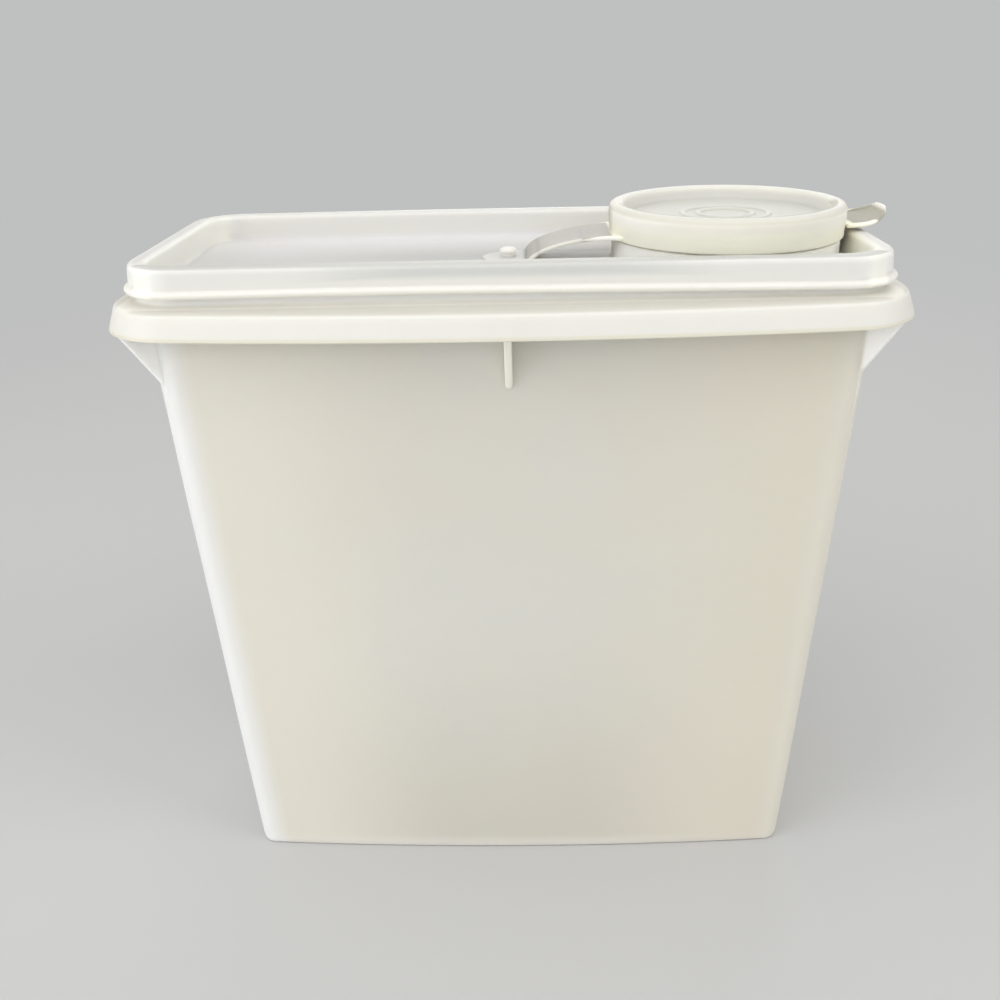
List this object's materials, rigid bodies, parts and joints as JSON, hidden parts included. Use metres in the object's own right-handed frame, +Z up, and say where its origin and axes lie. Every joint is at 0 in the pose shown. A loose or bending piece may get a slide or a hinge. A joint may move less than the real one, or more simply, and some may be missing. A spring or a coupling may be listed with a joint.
{
  "type": "cereal container with flip spout",
  "caption": "Tall tapered storage tub with a rim apron, a press-on lid with a sunk panel, and a round pour neck closed by a flip cap on a flexible strap.",
  "frame": {"origin": "middle of the face that the tub stands on", "axes": "+X along the long side towards the pour cap, +Y from the pictured long side to the other one, +Z up"},
  "size_m": [0.2578, 0.1352, 0.243],
  "materials": {
    "tub_plastic": "milky translucent moulded polyethylene, satin",
    "lid_plastic": "milky translucent moulded polyethylene, satin",
    "cap_plastic": "milky translucent moulded polyethylene with a slight warm tint, satin"
  },
  "bodies": {
    "tub": {"tub": "tub_plastic"},
    "lid": {"lid": "lid_plastic", "strap_eye": "cap_plastic"},
    "strap": {"strap_arch": "cap_plastic"},
    "cap": {"pour_cap": "cap_plastic"}
  },
  "joints": [
    {"name": "lid_lift", "type": "slide", "parent": "tub", "child": "lid", "axis": [0, 0, 1], "range_m": [0, 0.06]},
    {"name": "strap_flex", "type": "hinge", "parent": "lid", "child": "strap", "pos_m": [0.00672, 0, 0.2267], "axis": [0, -1, 0], "range_deg": [0, 90]},
    {"name": "cap_flip", "type": "hinge", "parent": "strap", "child": "cap", "pos_m": [0.01639, 0, 0.23159], "axis": [0, -1, 0], "range_deg": [0, 90]}
  ],
  "couplings": [
    {"joint": "strap_flex", "follows": "cap_flip", "ratio": 1}
  ]
}
